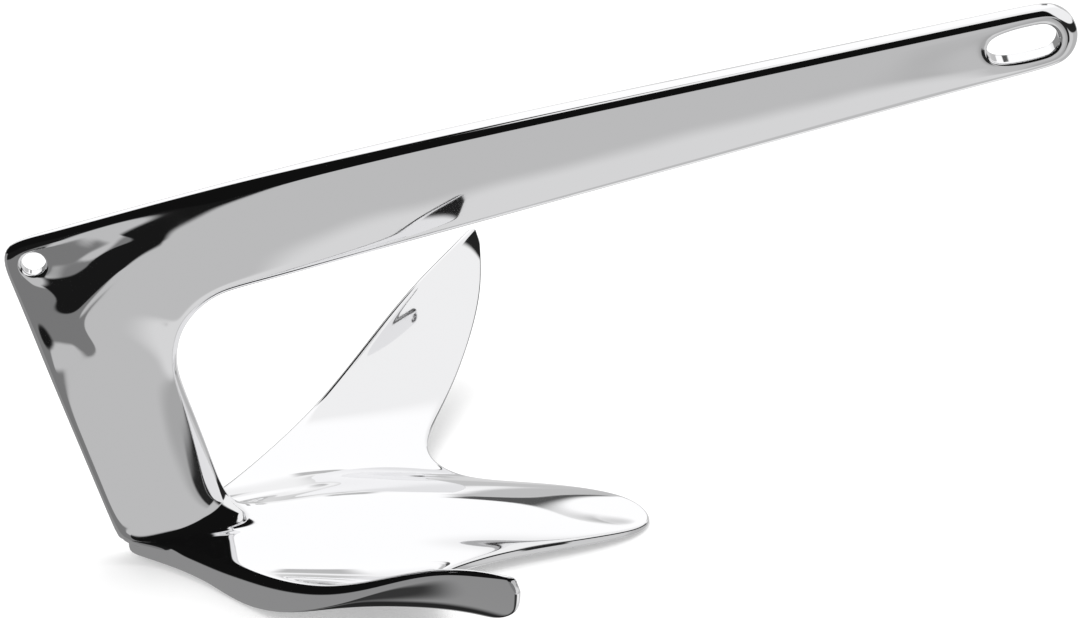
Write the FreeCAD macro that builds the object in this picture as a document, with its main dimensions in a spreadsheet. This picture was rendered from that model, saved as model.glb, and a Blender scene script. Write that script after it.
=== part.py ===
"""Claw anchor: one polished stainless steel casting, with a bent shank over a three-fluked claw.

Lengths are millimetres and angles are degrees. The casting is drawn as it is moulded:
X runs forward from the heel to the shackle eye, Y is sideways, Z is up from the heel.
At the end it is turned to the way it rests on the ground, with its origin under its middle.
"""
import FreeCAD, Part
import math
import os

import Sketcher

Vector = FreeCAD.Vector

# Sizes of the shank, which is drawn from the side
SHANK_SIZES = {
    "heel_back": -7.2,
    "heel_radius": 8.0,
    "heel_flat": 10.0,
    "back_lean": 18.3,
    "corner_height": 190.4,
    "corner_radius": 14.0,
    "back_rise": 15.31,
    "crown_reach": 106.9,
    "crown_radius": 3300.0,
    "fore_rise": 11.5,
    "eye_reach": 484.6,
    "eye_radius": 17.8,
    "eye_tilt": 13.0,
    "bend_reach": 12.7,
    "bend_drop": 40.0,
    "bend_radius": 44.5,
    "foot_reach": 53.6,
    "foot_height": 15.0,
    "shank_thickness": 16.5,
    "eye_thickness": 12.8,
    "taper_start": 230.0,
    "taper_overrun": 35.4,
    "edge_flat": 0.8,
    "web_thickness": 9.5,
    "web_shoulder": 12.0,
    "web_setback": 33.15,
    "web_arc_reach": 96.5,
    "web_drop": 83.6,
    "web_rise": 20.8,
    "web_run": 120.0,
    "trip_hole_radius": 6.5,
    "trip_hole_inset": 1.7,
    "slot_setback": 12.2,
    "slot_length": 38.7,
    "slot_width": 18.7,
    "hole_chamfer": 1.2,
}

# Sizes of the foot, where the shank spreads into the claw
FOOT_SIZES = {
    "foot_flare": 12.0,
    "foot_height_at_heel": 9.0,
    "foot_climb": 0.25,
    "foot_seat": 16.0,
    "foot_inset": 1.0,
}

# Master ribs of the claw, from the middle outwards. Each has its distance from the middle,
# its rear edge, its thickness at the rear edge, in the middle and at the front, its crown, and how
# far its underside reaches back past its top.
HALF_SPAN = 201.0
RIB_COLUMNS = (
    "side", "rear_reach", "rear_height", "rear_thickness",
    "middle_thickness", "front_thickness", "crown", "undercut",
)
RIBS = {
    "centre": (0.0, 6.0, 14.2, 14.4, 16.0, 3.6, 20.3, 5.0),
    "ridge": (30.0, 33.5, 15.6, 15.2, 13.0, 5.8, 9.8, 6.0),
    "notch": (68.0, 65.2, 22.8, 21.6, 11.0, 6.0, 1.0, 6.5),
    "blade": (105.0, 100.3, 38.0, 14.6, 10.0, 3.0, 0.0, 4.5),
    "shoulder": (165.0, 161.0, 81.0, 6.0, 5.4, 2.8, -0.5, 0.5),
    "apex": (HALF_SPAN, 193.6, 94.6, 4.8, 4.4, 3.2, 0.0, 0.0),
}

# Named points of the front edge, from the tip of the centre fluke to the end of a side fluke
EDGE_COLUMNS = ("reach", "side", "height")
FRONT_EDGE = {
    "tip": (281.8, 0.0, 13.6),
    "tip_round": (280.2, 9.5, 15.8),
    "tip_flank": (269.5, 18.5, 17.6),
    "fluke_flank": (194.4, 41.1, 18.0),
    "fluke_root": (171.2, 52.5, 18.4),
    "crotch": (160.4, 67.0, 21.4),
    "blade_foot": (166.6, 100.5, 26.6),
    "blade_swell": (192.0, 165.5, 51.2),
    "blade_crest": (198.0, 190.0, 70.0),
    "blade_end": (197.2, HALF_SPAN, 83.5),
}

# Sizes that follow from the ones above, as formulas of the sheet
DERIVED_SIZES = {
    "corner_reach": "=heel_back - corner_height * tan(back_lean * 1 deg)",
    "bend_height": "=corner_height - bend_drop",
    "edge_radius": "=(eye_thickness - edge_flat) / 2",
    "eye_drop_reach": "=eye_radius * sin(eye_tilt * 1 deg)",
    "eye_drop_height": "=eye_radius * cos(eye_tilt * 1 deg)",
    "eye_top_reach": "=eye_reach - eye_drop_reach",
    "crown_height": "=corner_height + (crown_reach - corner_reach) * tan(back_rise * 1 deg)",
    "eye_top_height": "=crown_height + (eye_top_reach - crown_reach) * tan(fore_rise * 1 deg)",
    "eye_height": "=eye_top_height - eye_drop_height",
    "crown_tangent": "=crown_radius * tan((back_rise - fore_rise) / 2 * 1 deg)",
    "crown_start_reach": "=crown_reach - crown_tangent * cos(back_rise * 1 deg)",
    "crown_start_height": "=crown_height - crown_tangent * sin(back_rise * 1 deg)",
    "crown_finish_reach": "=crown_reach + crown_tangent * cos(fore_rise * 1 deg)",
    "crown_finish_height": "=crown_height + crown_tangent * sin(fore_rise * 1 deg)",
    "crown_centre_reach": "=crown_start_reach + crown_radius * sin(back_rise * 1 deg)",
    "corner_bearing": "=(back_rise + back_lean - 90) / 2",
    "corner_depth": "=corner_radius / cos((back_lean - back_rise) / 2 * 1 deg + 45 deg)",
    "trip_hole_reach": "=corner_reach + corner_depth * cos(corner_bearing * 1 deg) + trip_hole_inset",
    "trip_hole_height": "=corner_height + corner_depth * sin(corner_bearing * 1 deg)",
    "slot_reach": "=eye_reach - slot_setback * cos(eye_tilt * 1 deg)",
    "slot_height": "=eye_height - slot_setback * sin(eye_tilt * 1 deg)",
    "web_arc_height": "=bend_height - web_drop",
    "web_ahead": "=trip_hole_reach - web_arc_reach",
    "web_below": "=trip_hole_height - web_arc_height",
    "web_arc_radius": "=sqrt(web_ahead^2 + web_below^2) - web_setback",
    "web_floor_radius": "=web_arc_radius + web_shoulder",
    "web_rise_sine": "=sin(web_rise * 1 deg)",
    "web_rise_cosine": "=cos(web_rise * 1 deg)",
    "slot_end_radius": "=slot_width / 2",
    "slot_half_run": "=(slot_length - slot_width) / 2",
    "slot_run_reach": "=slot_half_run * cos(eye_tilt * 1 deg)",
    "slot_run_height": "=slot_half_run * sin(eye_tilt * 1 deg)",
    "slot_side_reach": "=slot_end_radius * sin(eye_tilt * 1 deg)",
    "slot_side_height": "=slot_end_radius * cos(eye_tilt * 1 deg)",
    "taper_end": "=eye_reach + taper_overrun",
    "taper_edge": "=shank_thickness / 2",
    "taper_tip": "=eye_thickness / 2",
}

# How far the cutting shapes reach past the metal, and how finely the claw's skin follows its ribs
CUT_MARGIN = 60.0
NEAR = 1.0
STRAIGHT = 0.001
SETTLE_DETAIL = 0.3
STEEPEST_PITCH = 20.0
FINEST_PITCH = 0.001
HALVINGS = 50
HALF_RIB_COUNT = 16
SKIN_POINTS = 6
REAR_ROUND_POINTS = 3
FRONT_ROUND_POINTS = 2
REAR_ROUND_POWER = 2.6
FRONT_ROUND_POWER = 2.0
REAR_ROUND_SHARE = 1 / 3
REAR_ROUND_LIMIT = 5.0
REAR_THICKNESS_SHARE = 0.4
CROWN_POWER = 0.8
UNDERCUT_POWER = 4.0
FLARE_SHARES = (0.0, 0.15, 0.35, 0.6, 1.0)

# The foot's outline from its back middle to its front middle. Each point has its share of the
# depth, how many rounding radii it lies ahead of that, whether it moves in from the side by a
# rounding radius, and the shares of the flare that move it forward and out
FOOT_OUTLINE = (
    (0.0, 0.0, 1.0, 0.0, 0.0),
    (0.0, 1.0, 0.0, 0.0, 0.1),
    (0.35, 0.0, 0.0, 0.0, 0.7),
    (0.7, 0.0, 0.0, 0.0, 1.0),
    (1.0, -1.0, 0.0, 0.5, 0.8),
    (1.0, 0.0, 1.0, 1.0, 0.3),
)


def fill_sheet(document):
    """Make the spreadsheet of driving sizes, one alias a size, and return it."""
    sheet = document.addObject("Spreadsheet::Sheet", "sizes")
    cells = dict(SHANK_SIZES)
    cells.update(FOOT_SIZES)
    for rib, values in RIBS.items():
        cells.update({f"{rib}_{column}": value for column, value in zip(RIB_COLUMNS, values)})
    for point, values in FRONT_EDGE.items():
        cells.update({f"{point}_{column}": value for column, value in zip(EDGE_COLUMNS, values)})
    cells.update(DERIVED_SIZES)
    cells["cut_margin"] = CUT_MARGIN
    for row, (alias, content) in enumerate(cells.items(), start=1):
        sheet.set(f"A{row}", alias)
        sheet.set(f"B{row}", str(content))
        sheet.setAlias(f"B{row}", alias)
    document.recompute()
    return sheet


def named(expression):
    """Write sheet aliases in an expression with the sheet's name before each of them."""
    words = expression.split()
    return " ".join(f"sizes.{word}" if word[0].isalpha() else word for word in words)


def origin_plane(body, role):
    """Return the body's own origin plane that has the given role."""
    return next(feature for feature in body.Origin.OriginFeatures if feature.Role == role)


def new_sketch(body, name, role):
    """Add a sketch to the body, flat on one of the body's own origin planes."""
    sketch = body.newObject("Sketcher::SketchObject", name)
    sketch.AttachmentSupport = [(origin_plane(body, role), "")]
    sketch.MapMode = "FlatFace"
    return sketch


def hold(sketch, kind, geometry, end, expression):
    """Bind one distance, from the sketch's origin to a point of a line or arc, to the sheet."""
    value = float(sketch.evalExpression(named(expression)))
    index = sketch.addConstraint(Sketcher.Constraint(kind, -1, 1, geometry, end, value))
    sketch.setExpression(f"Constraints[{index}]", named(expression))


def point_of(sketch, pair):
    """Return the sketch point that a pair of sheet expressions gives."""
    across, upward = (float(sketch.evalExpression(named(text))) for text in pair)
    return Vector(across, upward, 0)


def arc_middle(start, finish, radius, turn):
    """Return the middle of the arc of a radius that turns left or right from start to finish."""
    chord = finish - start
    half = chord.Length / 2
    sagitta = radius - math.sqrt(max(radius * radius - half * half, 0.0))
    outward = Vector(chord.y, -chord.x, 0).normalize()
    return (start + finish) * 0.5 + outward * (sagitta if turn == "left" else -sagitta)


def draw_profile(sketch, corners, arcs):
    """Draw a closed profile through corners, each held at a pair of sheet expressions.

    arcs maps the index of a corner to the arc that starts there: its radius, the reach of its
    centre and its turn, left or right. Every other side is a straight line.
    """
    points = [point_of(sketch, pair) for pair in corners]
    ends = []
    for index, start in enumerate(points):
        finish = points[(index + 1) % len(points)]
        if index in arcs:
            radius, _, turn = arcs[index]
            middle = arc_middle(start, finish, float(sketch.evalExpression(named(radius))), turn)
            sketch.addGeometry(Part.Arc(start, middle, finish), False)
            ends.append((1, 2) if turn == "left" else (2, 1))
        else:
            sketch.addGeometry(Part.LineSegment(start, finish), False)
            ends.append((1, 2))
    for index, pair in enumerate(corners):
        previous = (index - 1) % len(points)
        start_end = ends[index][0]
        sketch.addConstraint(Sketcher.Constraint("Coincident", previous, ends[previous][1], index, start_end))
        hold(sketch, "DistanceX", index, start_end, pair[0])
        hold(sketch, "DistanceY", index, start_end, pair[1])
        if index in arcs:
            hold(sketch, "DistanceX", index, 3, arcs[index][1])


def upright_edges(shape, reach, height):
    """Return the names of the shape's crosswise edges at a reach and a height."""
    names = []
    for number, edge in enumerate(shape.Edges, start=1):
        ends = [edge.valueAt(edge.FirstParameter), edge.valueAt(edge.LastParameter)]
        if all(abs(end.x - reach) < NEAR and abs(end.z - height) < NEAR for end in ends):
            names.append(f"Edge{number}")
    return names


def round_edges(body, name, edges, radius):
    """Round named edges of the body's last feature by a radius of the sheet."""
    base = body.Tip
    fillet = body.newObject("PartDesign::Fillet", name)
    fillet.Base = (base, edges)
    fillet.setExpression("Radius", named(radius))
    body.Document.recompute()
    return fillet


def chamfer_hole(body, name, reach, height, size):
    """Chamfer the edges round a hole whose middle and largest reach are given."""
    centre = Vector(reach, 0, height)
    base = body.Tip
    names = side_edges(base.Shape, lambda spot: (Vector(spot.x, 0, spot.z) - centre).Length < size + NEAR)
    chamfer = body.newObject("PartDesign::Chamfer", name)
    chamfer.Base = (base, names)
    chamfer.setExpression("Size", named("hole_chamfer"))
    body.Document.recompute()
    return chamfer


def turns_crosswise(face, spot):
    """Tell whether a face runs straight across the shank at a spot, as its rim and its holes do."""
    across, along = face.Surface.parameter(spot)
    return abs(face.normalAt(across, along).y) < STRAIGHT


def side_edges(shape, wanted):
    """Return the names of the edges between the shank's sides and its rim or holes that a test wants."""
    names = []
    for number, edge in enumerate(shape.Edges, start=1):
        spot = edge.valueAt((edge.FirstParameter + edge.LastParameter) / 2)
        crosswise = [turns_crosswise(face, spot) for face in shape.ancestorsOfType(edge, Part.Face)]
        if crosswise.count(True) == 1 and wanted(spot):
            names.append(f"Edge{number}")
    return names


def pocket_through(body, sketch, name):
    """Cut a sketch through the whole body, both ways from its plane."""
    pocket = body.newObject("PartDesign::Pocket", name)
    pocket.Profile = sketch
    pocket.Type = "ThroughAll"
    pocket.SideType = "Symmetric"
    body.Document.recompute()
    return pocket


def make_shank(document, sheet):
    """Make the shank as a body: a padded side outline, tapered to the eye and thinned to a web."""
    body = document.addObject("PartDesign::Body", "shank")

    outline = new_sketch(body, "side_outline", "XZ_Plane")
    corners = [
        ("heel_back", "0"),
        ("heel_back + heel_flat", "0"),
        ("foot_reach", "foot_height"),
        ("bend_reach", "bend_height"),
        ("eye_reach + eye_drop_reach", "eye_height - eye_drop_height"),
        ("eye_top_reach", "eye_top_height"),
        ("crown_finish_reach", "crown_finish_height"),
        ("crown_start_reach", "crown_start_height"),
        ("corner_reach", "corner_height"),
    ]
    eye_arc = ("eye_radius", "eye_reach", "left")
    crown_arc = ("crown_radius", "crown_centre_reach", "left")
    draw_profile(outline, corners, {4: eye_arc, 6: crown_arc})

    pad = body.newObject("PartDesign::Pad", "side_pad")
    pad.Profile = outline
    pad.SideType = "Symmetric"
    pad.setExpression("Length", "sizes.shank_thickness")
    document.recompute()

    for name, reach, height, radius in (
        ("corner_round", sheet.corner_reach, sheet.corner_height, "corner_radius"),
        ("bend_round", sheet.bend_reach, sheet.bend_height, "bend_radius"),
        ("heel_round", sheet.heel_back, 0.0, "heel_radius"),
    ):
        round_edges(body, name, upright_edges(body.Tip.Shape, reach, height), radius)

    taper = new_sketch(body, "plan_taper", "XY_Plane")
    cut_side = "taper_edge + cut_margin"
    draw_profile(taper, [
        ("taper_start", "taper_edge"),
        ("taper_end", "taper_tip"),
        ("eye_reach + cut_margin", "taper_tip"),
        ("eye_reach + cut_margin", cut_side),
        ("taper_start", cut_side),
    ], {})
    taper_cut = pocket_through(body, taper, "taper_cut")
    mirror_across(body, taper_cut, "taper_cut_mirrored")

    outline_names = side_edges(body.Tip.Shape, lambda spot: spot.z > sheet.foot_height)
    round_edges(body, "outline_round", outline_names, "edge_radius")

    web = make_web_cut(body)
    mirror_across(body, web, "web_mirrored")

    eye_slot = new_sketch(body, "eye_slot", "XZ_Plane")
    far_across, far_up = "slot_reach + slot_run_reach", "slot_height + slot_run_height"
    near_across, near_up = "slot_reach - slot_run_reach", "slot_height - slot_run_height"
    draw_profile(eye_slot, [
        (f"{near_across} + slot_side_reach", f"{near_up} - slot_side_height"),
        (f"{far_across} + slot_side_reach", f"{far_up} - slot_side_height"),
        (f"{far_across} - slot_side_reach", f"{far_up} + slot_side_height"),
        (f"{near_across} - slot_side_reach", f"{near_up} + slot_side_height"),
    ], {1: ("slot_end_radius", far_across, "left"), 3: ("slot_end_radius", near_across, "left")})
    pocket_through(body, eye_slot, "shackle_slot")
    chamfer_hole(body, "slot_chamfer", sheet.slot_reach, sheet.slot_height, sheet.slot_length / 2)

    trip_radius = sheet.trip_hole_radius
    trip_circle = new_sketch(body, "trip_circle", "XZ_Plane")
    trip_centre = Vector(sheet.trip_hole_reach, sheet.trip_hole_height, 0)
    trip_circle.addGeometry(Part.Circle(trip_centre, Vector(0, 0, 1), trip_radius), False)
    hold(trip_circle, "DistanceX", 0, 3, "trip_hole_reach")
    hold(trip_circle, "DistanceY", 0, 3, "trip_hole_height")
    radius_index = trip_circle.addConstraint(Sketcher.Constraint("Radius", 0, trip_radius))
    trip_circle.setExpression(f"Constraints[{radius_index}]", "sizes.trip_hole_radius")
    pocket_through(body, trip_circle, "trip_line_hole")
    chamfer_hole(body, "trip_hole_chamfer", sheet.trip_hole_reach, sheet.trip_hole_height, trip_radius)
    return body


def mirror_across(body, original, name):
    """Repeat a feature on the other side of the body's middle plane."""
    mirrored = body.newObject("PartDesign::Mirrored", name)
    mirrored.Originals = [original]
    mirrored.MirrorPlane = (origin_plane(body, "XZ_Plane"), [""])
    body.Tip = mirrored
    body.Document.recompute()
    return mirrored


def make_web_cut(body):
    """Thin the outer corner of the bend to a web, with a soft shoulder round the main bar."""
    sketches = []
    for name, radius, depth in (
        ("web_rim", "web_arc_radius", "shank_thickness / 2"),
        ("web_floor", "web_floor_radius", "web_thickness / 2"),
    ):
        sketch = new_sketch(body, name, "XZ_Plane")
        sketch.setExpression("AttachmentOffset.Base.z", named(depth))
        turn_across = f"web_arc_reach - {radius} * web_rise_sine"
        turn_up = f"web_arc_height + {radius} * web_rise_cosine"
        draw_profile(sketch, [
            (turn_across, turn_up),
            (f"web_arc_reach - {radius}", "web_arc_height"),
            ("corner_reach - cut_margin", "web_arc_height"),
            ("corner_reach - cut_margin", "eye_height + cut_margin"),
            (f"{turn_across} + web_run * web_rise_cosine", "eye_height + cut_margin"),
            (f"{turn_across} + web_run * web_rise_cosine", f"{turn_up} + web_run * web_rise_sine"),
        ], {0: (radius, "web_arc_reach", "left")})
        sketches.append(sketch)
    loft = body.newObject("PartDesign::SubtractiveLoft", "web_cut")
    loft.Profile = sketches[0]
    loft.Sections = [sketches[1]]
    loft.Ruled = True
    body.Document.recompute()
    return loft


def curve_through(points):
    """Return a smooth curve through points."""
    curve = Part.BSplineCurve()
    curve.interpolate(points)
    return curve


def at_side(curve, side):
    """Return the point of a curve at a distance from the middle; it only ever moves outwards."""
    low, high = curve.FirstParameter, curve.LastParameter
    for _ in range(HALVINGS):
        middle = (low + high) / 2
        if curve.value(middle).y < side:
            low = middle
        else:
            high = middle
    return curve.value((low + high) / 2)


class ClawForm:
    """The claw's driving curves, and the ribs across it that they set."""

    def __init__(self, sheet):
        def rib_value(rib, column):
            return sheet.get(f"{rib}_{column}")

        def rib_curve(column):
            return curve_through([Vector(rib_value(rib, column), rib_value(rib, "side"), 0) for rib in RIBS])

        rear_columns = ("rear_reach", "side", "rear_height")
        self.rear = curve_through([
            Vector(*(rib_value(rib, column) for column in rear_columns)) for rib in RIBS
        ])
        self.front = curve_through([
            Vector(*(sheet.get(f"{point}_{column}") for column in EDGE_COLUMNS)) for point in FRONT_EDGE
        ])
        self.rear_thickness = rib_curve("rear_thickness")
        self.middle_thickness = rib_curve("middle_thickness")
        self.front_thickness = rib_curve("front_thickness")
        self.crown = rib_curve("crown")
        self.undercut = rib_curve("undercut")
        self.half_span = sheet.apex_side

    def frame_at(self, side):
        """Return a rib's rear point, its two directions, its chord and its thickness factor."""
        start, finish = at_side(self.rear, side), at_side(self.front, side)
        chord = finish - start
        along = Vector(chord).normalize()
        upward = Vector(-along.z, 0, along.x)
        if side < NEAR:
            return start, along, upward, chord.Length, 1.0
        outer, inner = min(side + NEAR, self.half_span), side - NEAR
        sweep = at_side(self.rear, outer) + at_side(self.front, outer)
        sweep = sweep - at_side(self.rear, inner) - at_side(self.front, inner)
        normal = along.cross(sweep).normalize()
        return start, along, upward, chord.Length, 1 / abs(normal.dot(upward))

    def rib_at(self, side):
        """Return the points round the rib at a distance from the middle, from the middle of its top."""
        start, along, upward, length, factor = self.frame_at(side)
        driving = (self.rear_thickness, self.middle_thickness, self.front_thickness, self.crown, self.undercut)
        rear, middle, front, crown, undercut = (at_side(curve, side).x for curve in driving)

        def thickness(share):
            if share < REAR_THICKNESS_SHARE:
                blend = share / REAR_THICKNESS_SHARE
                return rear + (middle - rear) * blend * blend * (3 - 2 * blend)
            return middle + (front - middle) * (share - REAR_THICKNESS_SHARE) / (1 - REAR_THICKNESS_SHARE)

        def place(share, depth):
            lift = crown * math.sin(math.pi * share ** CROWN_POWER)
            back = depth * undercut * (1 - share) ** UNDERCUT_POWER
            return start + along * (share * length - back) + upward * (lift - depth * factor * thickness(share))

        rear_round, front_round = min(rear * REAR_ROUND_SHARE, REAR_ROUND_LIMIT), front / 2
        first, last = rear_round / length, 1 - front_round / length
        shares = [first + (last - first) * index / SKIN_POINTS for index in range(SKIN_POINTS + 1)]
        rear_middle, front_middle = place(first, 0.5), place(last, 0.5)
        rear_half, front_half = factor * thickness(first) / 2, factor * thickness(last) / 2
        rear_quarter = rounding(REAR_ROUND_POWER, REAR_ROUND_POINTS)
        front_quarter = rounding(FRONT_ROUND_POWER, FRONT_ROUND_POINTS)

        tilt = along * (undercut / 2)
        points = [rear_middle - along * (rear_round * out) + (upward * rear_half + tilt) * up
                  for out, up in rear_quarter]
        points += [place(share, 0) for share in shares]
        points += [front_middle + along * (front_round * out) + upward * (front_half * up)
                   for out, up in reversed(front_quarter)]
        points += [front_middle + along * (front_round * out) - upward * (front_half * up)
                   for out, up in front_quarter[1:]]
        points += [place(share, 1) for share in reversed(shares)]
        points += [rear_middle - along * (rear_round * out) - (upward * rear_half + tilt) * up
                   for out, up in reversed(rear_quarter[1:])]
        top_middle = REAR_ROUND_POINTS + SKIN_POINTS // 2 - 1
        return points[top_middle:] + points[:top_middle]

    def sides(self):
        """Return how far out each rib of one half lies: evenly spaced along the front edge."""
        length = self.front.length()
        steps = [length * index / HALF_RIB_COUNT for index in range(1, HALF_RIB_COUNT)]
        start = self.front.FirstParameter
        inner = [self.front.value(self.front.parameterAtDistance(step, start)).y for step in steps]
        return [0.0] + inner + [self.half_span]

    def solid(self):
        """Return the claw as one solid, mirrored about the middle."""
        half = [self.rib_at(side) for side in self.sides()]
        mirrored = [[Vector(point.x, -point.y, point.z) for point in rib] for rib in reversed(half[1:])]
        return skin_over(mirrored + half, [len(half) - 2], [SKIN_POINTS + 2 * FRONT_ROUND_POINTS - 1])


def skin_over(rings, along_splits=(), around_splits=()):
    """Return a solid whose smooth skin is controlled by rings of points, closed flat at both ends.

    The skin is one surface, and its faces meet smoothly where it is split along and around.
    """
    count, around = len(rings), len(rings[0])
    skin = Part.BSplineSurface()
    skin.buildFromPolesMultsKnots(
        rings, [4] + [1] * (count - 4) + [4], [1] * (around + 1), list(range(count - 2)),
        list(range(around + 1)), False, True, 3, 3)
    along_ends = [0, *along_splits, count - 3]
    around_ends = [0, *around_splits, around]
    faces = []
    for start, finish in zip(along_ends, along_ends[1:]):
        for first, last in zip(around_ends, around_ends[1:]):
            patch = skin.copy()
            patch.segment(start, finish, first, last)
            faces.append(patch.toShape())
    sewn = Part.makeShell(faces)
    sewn.sewShape()
    used = [edge for face in sewn.Faces for wire in face.Wires for edge in wire.OrderedEdges]
    rims = Part.sortEdges([edge for edge in sewn.Edges if sum(edge.isSame(other) for other in used) == 1])
    shell = Part.makeShell(sewn.Faces + [Part.Face(Part.Wire(rim)) for rim in rims])
    shell.sewShape()
    return Part.Solid(shell)


def rounding(power, count):
    """Return points of a rounded quarter, from its outermost point towards its top."""
    turns = [math.pi / 2 * index / count for index in range(count)]
    return [(math.cos(turn) ** (2 / power), math.sin(turn) ** (2 / power)) for turn in turns]


def foot_section(sheet, height, flare):
    """Return a ring of points round the leg, spread by a flare to its sides and its front.

    The section's plane climbs forward with the top of the claw from a height at the heel.
    """
    lean = math.tan(math.radians(sheet.back_lean))
    front_slope = (sheet.foot_reach - sheet.bend_reach) / (sheet.bend_height - sheet.foot_height)
    back = sheet.heel_back - height * lean + sheet.foot_inset
    front_height = height + sheet.foot_climb * (sheet.foot_reach - back)
    front = sheet.foot_reach + (sheet.foot_height - front_height) * front_slope - sheet.foot_inset
    half = sheet.shank_thickness / 2 - sheet.foot_inset
    rounded = sheet.edge_radius
    side_points = [(back, 0.0)]
    for share, ahead, inward, forward, outward in FOOT_OUTLINE:
        reach = back + share * (front - back) + ahead * rounded + forward * flare
        side_points.append((reach, half - inward * rounded + outward * flare))
    side_points.append((front + flare, 0.0))
    points = [Vector(reach, side, height + (reach - back) * sheet.foot_climb) for reach, side in side_points]
    return points + [Vector(point.x, -point.y, point.z) for point in reversed(points[1:-1])]


def foot_solid(sheet):
    """Return the foot: sections of the leg that spread by a quarter circle until they meet the claw."""
    radius = sheet.foot_flare
    rings = [foot_section(sheet, sheet.foot_height_at_heel - sheet.foot_seat, radius)]
    for share in FLARE_SHARES:
        above = share * radius
        spread = radius - math.sqrt(radius ** 2 - (radius - above) ** 2)
        rings.append(foot_section(sheet, sheet.foot_height_at_heel + above, spread))
    corner = Vector(-CUT_MARGIN * 2, -CUT_MARGIN, -CUT_MARGIN)
    ground = Part.makeBox(CUT_MARGIN * 4, CUT_MARGIN * 2, CUT_MARGIN, corner)
    return skin_over(rings).cut(ground)


def lowest(points, pitch):
    """Return how low points reach once they are pitched forward by an angle."""
    turn = math.radians(pitch)
    return min(point.z * math.cos(turn) - point.x * math.sin(turn) for point in points)


def resting_placement(shape, split_reach):
    """Return the placement that sets the casting down on its centre fluke and its side flukes.

    It pitches forward until the tip, ahead of split_reach, is as low as what lies behind it.
    The origin then lies on the ground under the middle of the casting.
    """
    points = shape.tessellate(SETTLE_DETAIL)[0]
    ahead = [point for point in points if point.x > split_reach]
    behind = [point for point in points if point.x <= split_reach]
    level, steep = 0.0, STEEPEST_PITCH
    while steep - level > FINEST_PITCH:
        pitch = (level + steep) / 2
        if lowest(ahead, pitch) > lowest(behind, pitch):
            level = pitch
        else:
            steep = pitch
    rotation = FreeCAD.Rotation(Vector(0, 1, 0), level)
    turned = [rotation.multVec(point) for point in points]
    reaches = [point.x for point in turned]
    middle = (min(reaches) + max(reaches)) / 2
    return FreeCAD.Placement(Vector(-middle, 0, -min(point.z for point in turned)), rotation)


def check(document, part):
    """Stop if any object of the document failed, or the part isn't one whole solid."""
    for thing in document.Objects:
        if "Invalid" in thing.State or "Error" in thing.State:
            raise RuntimeError(f"{thing.Name} could not be made")
        shape = getattr(thing, "Shape", None)
        if thing.isDerivedFrom("Part::Feature") and (shape.isNull() or not shape.isValid()):
            raise RuntimeError(f"{thing.Name} has no valid shape")
    if len(part.Shape.Solids) != 1:
        raise RuntimeError(f"{part.Label} is not one solid")


def main():
    """Build the casting, set it down as it rests and write it."""
    document = FreeCAD.newDocument("claw_anchor")
    sheet = fill_sheet(document)
    shank = make_shank(document, sheet)
    claw = document.addObject("Part::Feature", "claw_form")
    claw.Shape = ClawForm(sheet).solid()
    foot = document.addObject("Part::Feature", "foot_form")
    foot.Shape = foot_solid(sheet)

    casting = document.addObject("Part::MultiFuse", "casting")
    casting.Label = "claw_anchor"
    casting.Shapes = [shank, claw, foot]
    document.recompute()
    check(document, casting)
    casting.Placement = resting_placement(casting.Shape, sheet.fluke_flank_reach)
    document.recompute()
    check(document, casting)

    os.makedirs("parts", exist_ok=True)
    casting.Shape.exportStep(f"parts/{casting.Label}.step")
    report_mounts(sheet, casting)


def report_mounts(sheet, casting):
    """Print where the holes of the shank lie on the resting casting."""
    for name, reach, height in (
        ("trip-line hole", sheet.trip_hole_reach, sheet.trip_hole_height),
        ("shackle slot", sheet.slot_reach, sheet.slot_height),
    ):
        place = casting.Placement.multVec(Vector(reach, 0, height))
        print(f"{name}: {place.x:.2f} {place.y:.2f} {place.z:.2f}")
    print("placement", casting.Placement)
    print("volume", round(casting.Shape.Volume), "box", casting.Shape.BoundBox)


main()
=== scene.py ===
"""Claw anchor in mirror-polished stainless steel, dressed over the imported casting.

The anchor is modelled in millimetres as it is moulded: X runs forward from the heel, Y is
sideways and Z is up. It is one smooth cage, half of it modelled and the rest mirrored. The
finished mesh is settled the way the casting rests, in metres, and the photograph's camera is
placed by the same turn.
"""
import logging
import math
from dataclasses import dataclass, field
from enum import Enum
from typing import Callable, Sequence

import bmesh
import bpy
import numpy as np
from mathutils import Matrix, Vector


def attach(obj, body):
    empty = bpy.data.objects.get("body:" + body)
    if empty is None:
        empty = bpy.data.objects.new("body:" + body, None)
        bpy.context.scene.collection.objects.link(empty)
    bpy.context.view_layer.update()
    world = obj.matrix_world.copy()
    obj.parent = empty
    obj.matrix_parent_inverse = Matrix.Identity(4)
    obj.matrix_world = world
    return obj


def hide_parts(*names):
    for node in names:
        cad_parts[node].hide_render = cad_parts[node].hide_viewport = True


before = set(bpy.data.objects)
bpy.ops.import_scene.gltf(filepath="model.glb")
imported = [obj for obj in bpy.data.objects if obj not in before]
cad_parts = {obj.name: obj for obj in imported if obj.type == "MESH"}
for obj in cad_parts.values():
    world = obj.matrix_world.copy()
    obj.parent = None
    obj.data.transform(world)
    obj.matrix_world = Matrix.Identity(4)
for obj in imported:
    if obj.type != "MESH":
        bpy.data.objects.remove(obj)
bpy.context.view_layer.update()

log = logging.getLogger("claw_anchor")

NODE = "claw_anchor"
MILLIMETRE = 0.001
IMAGE_WIDTH = 1080
MERGE_REACH = 0.02
WHITE = (1.0, 1.0, 1.0, 1.0)

Spot = tuple[float, float, float]
Value = float | tuple[float, ...] | bpy.types.NodeSocket


def clamp(value: float) -> float:
    """Return a value held between 0 and 1."""
    return min(max(value, 0.0), 1.0)


def eased(share: float) -> float:
    """Return a share between 0 and 1 that starts and ends gently."""
    return share * share * (3 - 2 * share)


def flat(reach: float, height: float) -> Vector:
    """Return a point of the middle plane."""
    return Vector((reach, 0.0, height))


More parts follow.
